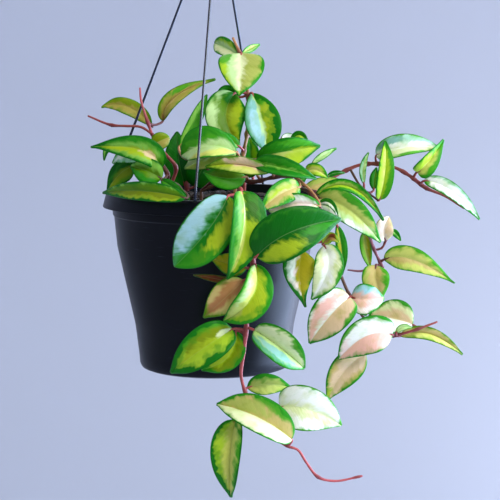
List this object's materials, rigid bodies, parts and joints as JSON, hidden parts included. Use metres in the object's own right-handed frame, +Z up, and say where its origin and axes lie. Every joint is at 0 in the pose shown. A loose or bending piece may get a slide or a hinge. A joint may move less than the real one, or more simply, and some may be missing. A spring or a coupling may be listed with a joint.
{
  "type": "potted tricolor wax plant in hanging pot",
  "caption": "Trailing wax plant with cream, pink and green fleshy leaves in a black plastic pot that hangs by strands from an open hook.",
  "frame": {"origin": "point inside the hook that bears on the rail, on the hanger's axis", "axes": "+Z up, -Y towards the viewer of the plant's full side, +X to that viewer's right"},
  "size_m": [0.2629, 0.2156, 0.4109],
  "materials": {
    "pot_plastic": "satin black moulded polypropylene with fine scuffs",
    "hanger_plastic": "glossy blue-black moulded plastic",
    "potting_mix": "damp dark mix of peat and bark chips",
    "plant": "fleshy waxy leaves in green, cream and pink on red-brown stems"
  },
  "bodies": {
    "root": {"pot": "pot_plastic", "potting_mix": "potting_mix", "strand_left": "hanger_plastic", "strand_front": "hanger_plastic", "strand_back": "hanger_plastic", "hanger_hook": "hanger_plastic", "vine_crown": "plant", "vine_centre": "plant", "vine_front": "plant", "vine_hanging_right": "plant", "vine_violet_right": "plant", "vine_arched_right": "plant", "vine_left_tall": "plant", "vine_left_low": "plant", "vine_back_left": "plant", "vine_back_right": "plant"}
  },
  "joints": []
}
